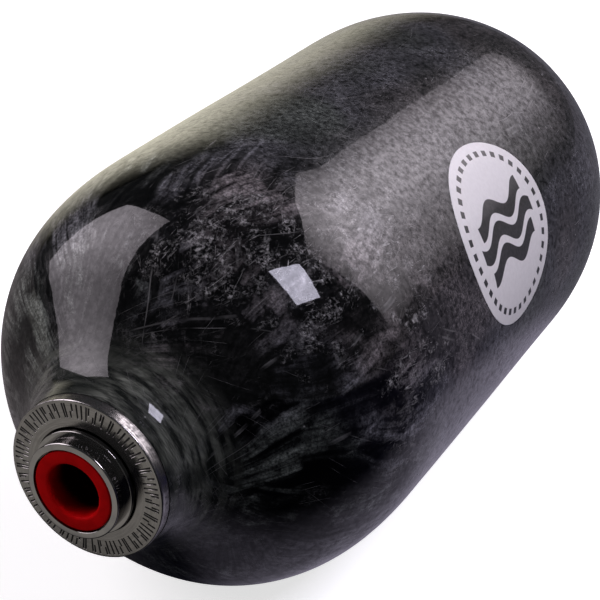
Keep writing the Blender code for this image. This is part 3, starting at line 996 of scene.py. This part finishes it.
def airflow_lines(s, around, along):
    """Three waved bars inside a dotted ring, as ink coverage from 0 to 1."""
    wave = s.product(s.math("SINE", s.product(along, BAR_WAVE_RATE)), BAR_WAVE_HEIGHT)
    across = s.math("SUBTRACT", around, wave)
    lengthwise = s.math("ABSOLUTE", along)
    inks = []
    for offset, width, length in BARS:
        beside = s.ramp(s.off_from(across, offset), width, width - INK_EDGE)
        inks.append(s.product(beside, s.ramp(lengthwise, length, length - BAR_END_FADE)))
    ring = s.ramp(s.off_from(s.hypotenuse(around, along), DOT_RING_RADIUS), DOT_HALF, DOT_HALF - INK_EDGE)
    turns = s.product(s.math("ARCTAN2", around, along), DOT_COUNT)
    dots = s.ramp(s.math("SINE", turns), -0.1, 0.1)
    return s.highest(*inks, s.product(ring, dots))


def printed_film():
    """White film with a plain pattern of airflow lines, under the resin."""
    s = Shader("printed_film")
    where = s.position()
    angle = s.math("SUBTRACT", s.angle_round_axis(where), LABEL_ANGLE)
    along = s.math("SUBTRACT", s.axes(where)["Y"], NECK_FACE_Y / MM + LABEL_STATION)
    ink = airflow_lines(s, s.product(angle, SKIN_RADIUS), along)
    grain = s.ramp(s.noise(where, 1.2, 3.0), 0.3, 0.7)
    paper = s.mix(grain, (0.92, 0.90, 0.88), (0.97, 0.95, 0.93))
    dark = s.mix(grain, (0.012, 0.012, 0.012), (0.035, 0.033, 0.033))
    s.set(Base_Color=s.mix(ink, paper, dark), Roughness=0.5, Coat_Weight=1.0, Coat_Roughness=0.025,
          Coat_Normal=resin_bump(s, where))
    return s.material


# ---------------- materials of metal, plastic and rubber

Turned = namedtuple("Turned", "where radius angle y")


def turned_spot(s):
    """A point with its distance from the axis, its angle round it and its place along it."""
    where = s.position()
    parts = s.axes(where)
    return Turned(where, s.hypotenuse(parts["X"], parts["Z"]), s.angle_round_axis(where), parts["Y"])


def lathe_rings(s, spot, scale):
    """Fine rings: they vary quickly with radius and station, and slowly with the angle."""
    wobble = s.product(s.math("COSINE", spot.angle), 0.15)
    drift = s.product(s.math("SINE", spot.angle), 0.4)
    return s.noise(s.combine(s.math("ADD", spot.radius, wobble), spot.y, drift), scale, 4.0, 0.7)


def machined_aluminium():
    """Turned face with dark cuts, and a brighter, patchy side."""
    s = Shader("machined_aluminium")
    spot = turned_spot(s)
    rings = lathe_rings(s, spot, 5.0)
    fine = lathe_rings(s, spot, 16.0)
    coarse = lathe_rings(s, spot, 1.6)
    stain = s.product(s.ramp(s.noise(spot.where, 0.35, 3.0, 0.6), 0.5, 0.75), 0.5)
    face = s.mix(s.spread(rings), (0.24, 0.230, 0.220), (0.40, 0.385, 0.370))
    face = s.mix(stain, face, (0.19, 0.18, 0.17))
    patchy = s.math("ADD", coarse, s.math("MULTIPLY_ADD", s.noise(spot.where, 0.5, 3.0, 0.7), 0.8, -0.4))
    side = s.mix(s.ramp(patchy, 0.35, 0.65), (0.46, 0.445, 0.435), (0.12, 0.115, 0.112))
    on_side = s.ramp(spot.radius, BOSS_RADIUS - BOSS_EDGE, BOSS_RADIUS)
    polish = s.blend(on_side, s.spread(fine, 0.10, 0.20), s.spread(patchy, 0.16, 0.46))
    cut = s.attribute("cut")
    s.set(Base_Color=s.mix(cut, s.mix(on_side, face, side), (0.02, 0.018, 0.016)),
          Metallic=s.scale(cut, 1.0, 0.2), Roughness=s.blend(cut, polish, 0.7),
          Normal=s.bump(s.math("ADD", fine, coarse), 0.00001, 0.5))
    return s.material


def polished_steel():
    s = Shader("polished_steel")
    spot = turned_spot(s)
    haze = s.noise(spot.where, 0.4, 2.0)
    metal = s.mix(s.ramp(haze, 0.35, 0.7), (0.40, 0.385, 0.37), (0.34, 0.33, 0.325))
    s.set(Base_Color=metal, Metallic=1.0, Roughness=s.spread(lathe_rings(s, spot, 1.5), 0.07, 0.12),
          Normal=s.bump(haze, 0.00002, 0.2))
    return s.material


def red_plastic():
    """Dull red plastic, with painted shade that darkens it into the plug's recess."""
    s = Shader("red_plastic")
    where = s.position()
    grain = s.noise(where, 3.0, 3.0)
    cloud = s.noise(where, 0.3, 2.0)
    red = s.mix(s.ramp(cloud, 0.35, 0.65), (0.56, 0.0012, 0.0025), (0.70, 0.002, 0.004))
    # Painted shade: the red turns near black with depth into the recess
    depth = s.math("SUBTRACT", s.axes(where)["Y"], NECK_FACE_Y / MM + PLUG_FRONT)
    s.set(Base_Color=s.mix(s.ramp(depth, 0.6, 5.0), red, (0.02, 0.0, 0.0)),
          Roughness=s.spread(grain, 0.45, 0.6), Normal=s.bump(grain, 0.00003, 0.4),
          Specular_IOR_Level=0.03)
    return s.material


def black_rubber():
    s = Shader("black_rubber")
    grain = s.noise(s.position(), 6.0, 3.0)
    s.set(Base_Color=s.mix(grain, (0.012, 0.012, 0.012), (0.035, 0.035, 0.034)),
          Roughness=s.spread(grain, 0.5, 0.7), Normal=s.bump(grain, 0.00003, 0.5))
    return s.material


def hidden_wrap(name, dark, light, roughness, slope):
    """A wrap layer under the skin: tows at one slope, lying both ways if it isn't a hoop."""
    s = Shader(name)
    where = s.position()
    y = s.axes(where)["Y"]
    stretch, radius = (0.06, PATTERN_RADIUS) if slope else (1.0, HOOP_PATTERN_RADIUS)
    layers = []
    for direction in (-1.0, 1.0):
        turn = s.math("MULTIPLY_ADD", y, direction * slope / PATTERN_RADIUS, s.angle_round_axis(where))
        layers.append(s.noise(on_circle(s, turn, s.product(y, stretch), radius), 1.0, 4.0, 0.6))
    tows = s.blend(s.ramp(s.noise(where, 0.12, 1.0), 0.45, 0.55), *layers)
    s.set(Base_Color=s.mix(s.spread(tows), dark, light), Roughness=roughness,
          Normal=s.bump(tows, 0.0003, 0.6))
    return s.material


def dress_hidden_wraps():
    """The wraps under the skin stay as the CAD made them, with their own fibre materials."""
    finishes = {
        "glass_outer_wrap": ("glass_wrap", (0.10, 0.12, 0.10), (0.33, 0.35, 0.30), 0.4, 0.39),
        "carbon_helical_wrap": ("carbon_helical", (0.006, 0.006, 0.007), (0.045, 0.045, 0.048), 0.35, 0.39),
        "carbon_hoop_wrap": ("carbon_hoop", (0.006, 0.006, 0.007), (0.05, 0.05, 0.052), 0.35, 0.0),
        "glass_isolation_layer": ("glass_isolation", (0.22, 0.24, 0.20), (0.45, 0.47, 0.40), 0.45, 0.39),
    }
    for node, finish in finishes.items():
        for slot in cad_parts[node].material_slots:
            slot.link = "OBJECT"
            slot.material = hidden_wrap(*finish)


# ---------------- floor, light and camera

OBJECT_CENTRE = (cad_low + cad_high) / 2
CAMERA_PLACE = Vector((0.1425, -0.2819, 0.1551))
CAMERA_AIM = Vector((-0.4139, 0.7894, -0.4533))
CAMERA_LENS = 95.16
CAMERA_SENSOR = 36.0
CAMERA_CLIP = 0.01
FLOOR_SIZE = 12.0
FLOOR_NEAR = 300.0
FLOOR_FAR = 1500.0
LIGHT_DISTANCE = 1.0
WALL_DISTANCE = 3.0
EVENLY = 1000.0
FAINT_FILL = 0.05
DARK_TABLE = (0.006, 0.006, 0.010)


def reflected_floor(s, where):
    """What glossy surfaces see of the floor: a dark table that glows, with painted pools of light on it.

    Pools and shades are set by the bearing from the object, in degrees, and by millimetres on the floor.
    """
    parts = s.axes(where)
    x, y = parts["X"], parts["Y"]
    bearing = s.product(s.math("ARCTAN2", x, y), 180 / math.pi)
    away = s.hypotenuse(x, y)
    left = s.mix(s.ramp(bearing, -60.0, -30.0), (0.15, 0.135, 0.14), (0.13, 0.125, 0.15))
    left = s.mix(s.ramp(bearing, -180.0, -110.0), DARK_TABLE, left)
    table = s.mix(s.ramp(bearing, 10.0, 75.0), left, (0.020, 0.019, 0.042))
    table = s.mix(s.ramp(bearing, 95.0, 140.0), table, DARK_TABLE)
    # Painted pools of light on the glowing table: under the object, at its back and at its front
    glow_beneath = s.product(s.ramp(away, 108.0, 76.0), s.ramp(x, 0.0, 25.0))
    table = s.mix(glow_beneath, table, (0.26, 0.24, 0.31))
    glow_behind = s.product(s.ramp(bearing, -72.0, -46.0), s.ramp(bearing, -15.0, -42.0),
                       s.ramp(away, 50.0, 260.0))
    table = s.mix(glow_behind, table, (0.80, 0.76, 0.61))
    glow_in_front = s.product(s.ramp(y, -105.0, -140.0), s.ramp(x, 45.0, 5.0))
    return s.mix(glow_in_front, table, (0.35, 0.335, 0.32))


def floor_material():
    """Pale to the camera, white far away, and to reflections and bounced light a dark table that glows with
    painted pools of light.
    """
    s = Shader("pale_floor")
    where = s.position()
    pale = s.mix(s.noise(where, 0.02, 3.0), (0.80, 0.80, 0.80), (0.86, 0.86, 0.86))
    near = s.ramp(s.distance(where, (0.0, 0.0, 0.0)), FLOOR_FAR, FLOOR_NEAR)
    s.set(Base_Color=s.mix(near, (0.0, 0.0, 0.0), pale), Roughness=0.9, Specular_IOR_Level=0.0,
          Emission_Color=(1.0, 1.0, 1.0), Emission_Strength=s.scale(near, 1.0, 0.7))
    table = s.node("Emission", {"Color": reflected_floor(s, where), "Strength": 1.0})
    s.show_by_ray(s.surface.outputs[0], table.outputs[0])
    return s.material


def flat_piece(name, corners, surface):
    """One flat face that belongs to the stage."""
    mesh = bpy.data.meshes.new(name)
    mesh.from_pydata(corners, [], [tuple(range(len(corners)))])
    mesh.materials.append(surface)
    result = add_object(name, mesh)
    return result


def floor():
    half = FLOOR_SIZE / 2
    corners = [(x, y, cad_low.z) for x, y in ((-half, -half), (half, -half), (half, half), (-half, half))]
    flat_piece("floor", corners, floor_material())


def direction(bearing, rise):
    """Unit vector from a direction round the vertical and a rise above the horizon, in degrees."""
    turn, lift = math.radians(bearing), math.radians(rise)
    return Vector((math.sin(turn) * math.cos(lift), math.cos(turn) * math.cos(lift), math.sin(lift)))


def disc_of_directions(bearing, rise, size, count=16):
    """Directions round a circle in the sky, to outline a round panel."""
    return [(bearing + size * math.cos(turn), rise + size * math.sin(turn)) for turn in circle(count)]


def panel_material(name, colour, low, glows):
    """Light that is strongest at each glow, given by its centre, its strength and its reach in metres."""
    s = Shader(name)
    s.tree.nodes.remove(s.surface)
    where = s.node("TexCoord").outputs["Object"]
    strength = s.highest(*[s.ramp(s.distance(where, centre), 0.0, reach, strong, low)
                           for centre, strong, reach in glows])
    s.show(s.node("Emission", {"Color": colour, "Strength": strength}).outputs[0])
    return s.material


def panel(name, corners, colour, glows, low=0.0, distance=LIGHT_DISTANCE):
    """A flat glowing panel that faces the object, given by the directions of its corners.

    A glow is a direction, the strength there, and the distance over which it fades to the low strength.
    """
    rays = [direction(*corner) for corner in corners]
    facing = sum(rays, Vector()).normalized()
    right = facing.cross(Vector((0, 0, 1))).normalized()
    up = right.cross(facing)

    def on_panel(ray):
        offset = ray * (distance / ray.dot(facing))
        return offset.dot(right), offset.dot(up), 0.0

    spots = [(on_panel(direction(bearing, rise)), strong, reach) for bearing, rise, strong, reach in glows]
    surface = panel_material(name, colour, low, spots)
    result = flat_piece(name, [on_panel(ray) for ray in rays], surface)
    basis = Matrix((right, up, -facing)).transposed()
    result.matrix_world = Matrix.Translation(OBJECT_CENTRE + facing * distance) @ basis.to_4x4()
    result.visible_camera = False
    result.visible_shadow = False


def room():
    """Soft fill from all round: pale to the camera, dim to everything else."""
    world = bpy.data.worlds.new("room")
    bpy.context.scene.world = world
    s = Nodes(world, "World Output")
    pale = s.node("Background", {"Color": (1.0, 1.0, 1.0), "Strength": 1.0})
    dim = s.node("Background", {"Color": (0.9, 0.93, 1.0), "Strength": FAINT_FILL})
    s.show_by_ray(pale.outputs[0], dim.outputs[0])


def camera():
    data = bpy.data.cameras.new("camera")
    data.sensor_width = CAMERA_SENSOR
    data.lens = CAMERA_LENS
    data.clip_start = CAMERA_CLIP
    result = add_object("camera", data)
    result.location = CAMERA_PLACE
    result.rotation_mode = "QUATERNION"
    result.rotation_quaternion = CAMERA_AIM.to_track_quat("-Z", "Y")
    bpy.context.scene.camera = result


def studio():
    """Each panel gives one group of reflections. Its corners and glows are directions, in degrees."""
    bpy.context.scene.view_settings.view_transform = "Standard"
    floor()
    panel("back_panel", ((-4.5, 41.5), (12, 52.5), (62, 55), (56, 6), (9, 5.5)), (1.0, 0.92, 1.0),
          ((28, 42, 4.2, 0.60), (45, 27, 2.4, 0.55)), low=0.1)
    panel("key_panel", ((114.4, 62.6), (76.4, 57.5), (87.1, 41.3), (109.8, 43.6)), (0.85, 0.82, 1.0),
          ((97, 51, 13.0, EVENLY),))
    panel("left_panel", ((-78, 41), (-102, 64.5), (-141, 26), (-112, 6), (-92, 10)), (1.0, 0.91, 1.0),
          ((-105, 40, 4.0, 0.8),), low=1.0)
    panel("cream_wall", disc_of_directions(-45, 0, 29), (0.92, 0.87, 0.70),
          ((-45, 0, 1.12, 1.66),), distance=WALL_DISTANCE)
    room()
    camera()


# ---------------- the whole object

stands_for(coated_skin(wound_fibre()), "clear_coat", "cylinder")
stands_for(label_film(printed_film()), "round_label", "cylinder")
stands_for(liner(machined_aluminium()), "liner", "cylinder")
stands_for(bright_nose(polished_steel()), "thread_insert", "cylinder")
rubber = black_rubber()
stands_for(seal("insert_seal", "insert_ring", rubber), "insert_ring", "cylinder")
stands_for(seal("plug_seal", "plug_ring", rubber), "plug_ring", "plug_carrier")
stands_for(red_plug(red_plastic()), "port_plug", "plug")
dress_hidden_wraps()
studio()
